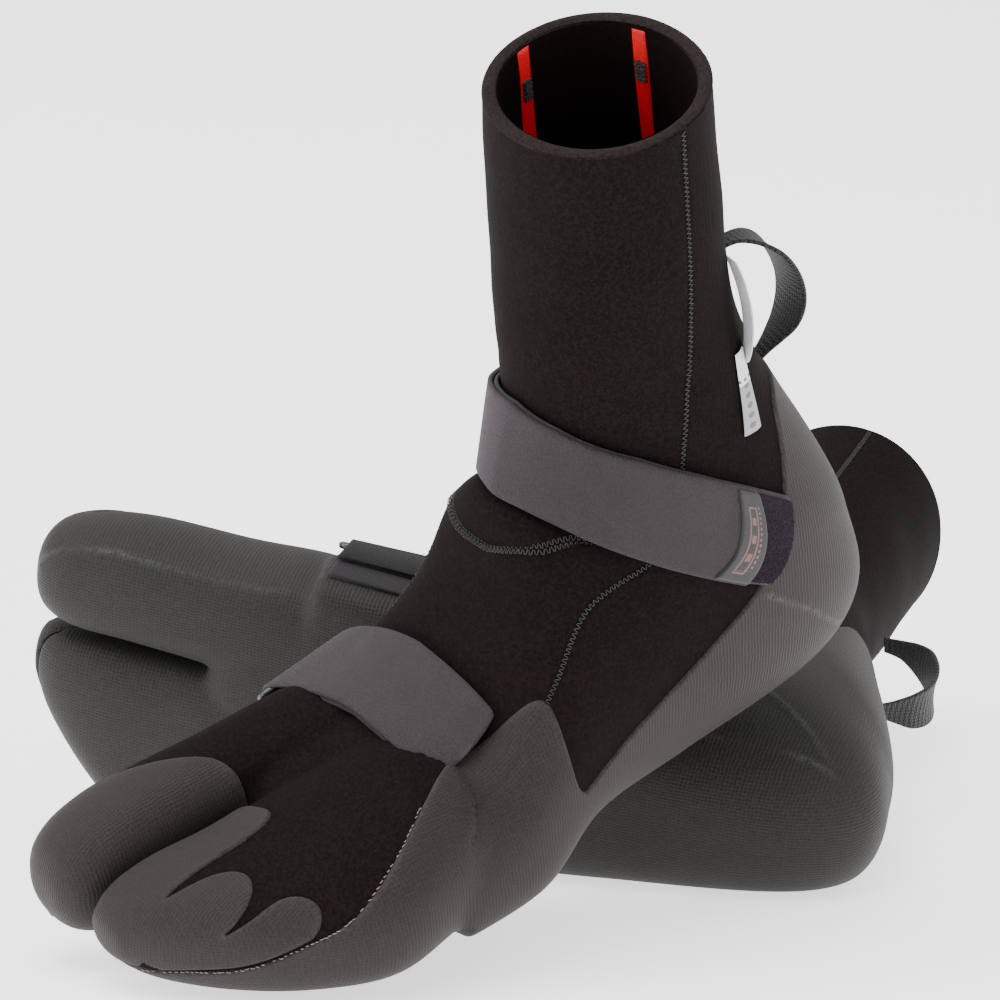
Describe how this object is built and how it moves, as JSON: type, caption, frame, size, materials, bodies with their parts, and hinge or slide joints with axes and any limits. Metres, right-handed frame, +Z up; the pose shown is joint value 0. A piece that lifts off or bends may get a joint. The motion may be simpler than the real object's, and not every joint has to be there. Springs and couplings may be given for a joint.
{
  "type": "split-toe neoprene boots",
  "caption": "Pair of dark split-toe neoprene water boots with ribbed rubber skins, webbing straps at instep and ankle, and pull loops.",
  "frame": {"origin": "middle of the pair's bounding box, at floor level", "axes": "+Z up; the lying right boot's toes point to -X and its shaft to +Y, its sole faces -Y; the left boot stands in front of it"},
  "size_m": [0.2777, 0.4144, 0.2972],
  "materials": {
    "neoprene": "matte knit-faced foam",
    "rubber": "ribbed matte",
    "webbing": "woven elastic",
    "steel": "polished",
    "loop_pile": "brushed pile",
    "binding": "ribbed webbing",
    "satin": "satin ribbon",
    "seam_tape": "melted seam tape"
  },
  "bodies": {
    "right_boot": {"right_ankle_loop_patch": "loop_pile", "right_ankle_ring": "steel", "right_ankle_ring_tab": "webbing", "right_ankle_strap_base": "webbing", "right_big_toe_cap": "rubber", "right_big_toe_pocket": "neoprene", "right_care_tag": "satin", "right_foot_panel": "neoprene", "right_four_toe_cap": "rubber", "right_four_toe_pocket": "neoprene", "right_heel_cup": "rubber", "right_heel_panel": "neoprene", "right_inner_rand": "rubber", "right_instep_ring_tab": "webbing", "right_instep_strap_base": "webbing", "right_outer_rand": "rubber", "right_outer_wing": "rubber", "right_seam_tape_1": "seam_tape", "right_seam_tape_2": "seam_tape", "right_seam_tape_3": "seam_tape", "right_shaft_front": "neoprene", "right_tread": "rubber", "right_vamp": "neoprene"},
    "left_boot": {"left_ankle_loop_patch": "loop_pile", "left_ankle_ring": "steel", "left_ankle_ring_tab": "webbing", "left_ankle_strap_base": "webbing", "left_big_toe_cap": "rubber", "left_big_toe_pocket": "neoprene", "left_care_tag": "satin", "left_foot_panel": "neoprene", "left_four_toe_cap": "rubber", "left_four_toe_pocket": "neoprene", "left_heel_cup": "rubber", "left_heel_panel": "neoprene", "left_inner_rand": "rubber", "left_instep_ring_tab": "webbing", "left_instep_strap_base": "webbing", "left_outer_rand": "rubber", "left_outer_wing": "rubber", "left_seam_tape_1": "seam_tape", "left_seam_tape_2": "seam_tape", "left_seam_tape_3": "seam_tape", "left_shaft_front": "neoprene", "left_tread": "rubber", "left_vamp": "neoprene"},
    "left_ankle_strap_end": {"left_ankle_label": "webbing", "left_ankle_strap_end": "webbing"},
    "left_ankle_flap": {"left_ankle_strap_flap": "webbing"},
    "left_instep_ring": {"left_instep_ring": "steel"},
    "left_instep_flap": {"left_instep_strap_flap": "webbing"},
    "left_pull_loop": {"left_pull_loop": "binding"},
    "right_ankle_strap_end": {"right_ankle_label": "webbing", "right_ankle_strap_end": "webbing"},
    "right_ankle_flap": {"right_ankle_strap_flap": "webbing"},
    "right_instep_ring": {"right_instep_ring": "steel"},
    "right_instep_flap": {"right_instep_strap_flap": "webbing"},
    "right_pull_loop": {"right_pull_loop": "binding"}
  },
  "joints": [
    {"name": "left_boot_lift", "type": "slide", "parent": "right_boot", "child": "left_boot", "axis": [0, 0, 1], "range_m": [0, 0.25]},
    {"name": "left_instep_ring_turn", "type": "hinge", "parent": "left_boot", "child": "left_instep_ring", "pos_m": [-0.01915, -0.09414, 0.08105], "axis": [-0.6709, -0.5046, -0.5434], "range_deg": [0, 12]},
    {"name": "left_instep_flap_peel", "type": "hinge", "parent": "left_instep_ring", "child": "left_instep_flap", "pos_m": [-0.01669, -0.10018, 0.08361], "axis": [-0.6709, -0.5046, -0.5434], "range_deg": [0, 85]},
    {"name": "left_ankle_flap_peel", "type": "hinge", "parent": "left_boot", "child": "left_ankle_flap", "pos_m": [0.04205, -0.0694, 0.16213], "axis": [-0.1904, 0.2753, -0.9423], "range_deg": [0, 70]},
    {"name": "left_ankle_end_unwrap", "type": "hinge", "parent": "left_ankle_flap", "child": "left_ankle_strap_end", "pos_m": [0.08429, -0.12806, 0.15272], "axis": [-0.0908, 0.2027, -0.975], "range_deg": [0, 49]},
    {"name": "left_pull_loop_swing", "type": "hinge", "parent": "left_boot", "child": "left_pull_loop", "pos_m": [0.11256, -0.04978, 0.18284], "axis": [-0.1378, -0.5812, 0.802], "range_deg": [-28, 28], "stiffness_Nm_per_rad": 0.01},
    {"name": "right_instep_ring_turn", "type": "hinge", "parent": "right_boot", "child": "right_instep_ring", "pos_m": [-0.01484, -0.0223, 0.09965], "axis": [0.917, 0.3352, -0.2162], "range_deg": [0, 12]},
    {"name": "right_instep_flap_peel", "type": "hinge", "parent": "right_instep_ring", "child": "right_instep_flap", "pos_m": [-0.01747, -0.01593, 0.0984], "axis": [0.917, 0.3352, -0.2162], "range_deg": [0, 85]},
    {"name": "right_ankle_flap_peel", "type": "hinge", "parent": "right_boot", "child": "right_ankle_flap", "pos_m": [0.05915, 0.05744, 0.08364], "axis": [0.1671, 0.9815, 0.0934], "range_deg": [0, 70]},
    {"name": "right_ankle_end_unwrap", "type": "hinge", "parent": "right_ankle_flap", "child": "right_ankle_strap_end", "pos_m": [0.02773, 0.08412, 0.02352], "axis": [0.1906, 0.9575, 0.2164], "range_deg": [0, 49]},
    {"name": "right_pull_loop_swing", "type": "hinge", "parent": "right_boot", "child": "right_pull_loop", "pos_m": [0.11506, 0.08037, 0.03744], "axis": [-0.2837, 0.9338, 0.2179], "range_deg": [-28, 28], "stiffness_Nm_per_rad": 0.01}
  ],
  "couplings": [
    {"joint": "left_ankle_end_unwrap", "follows": "left_ankle_flap_peel", "ratio": 0.7},
    {"joint": "right_ankle_end_unwrap", "follows": "right_ankle_flap_peel", "ratio": 0.7}
  ]
}
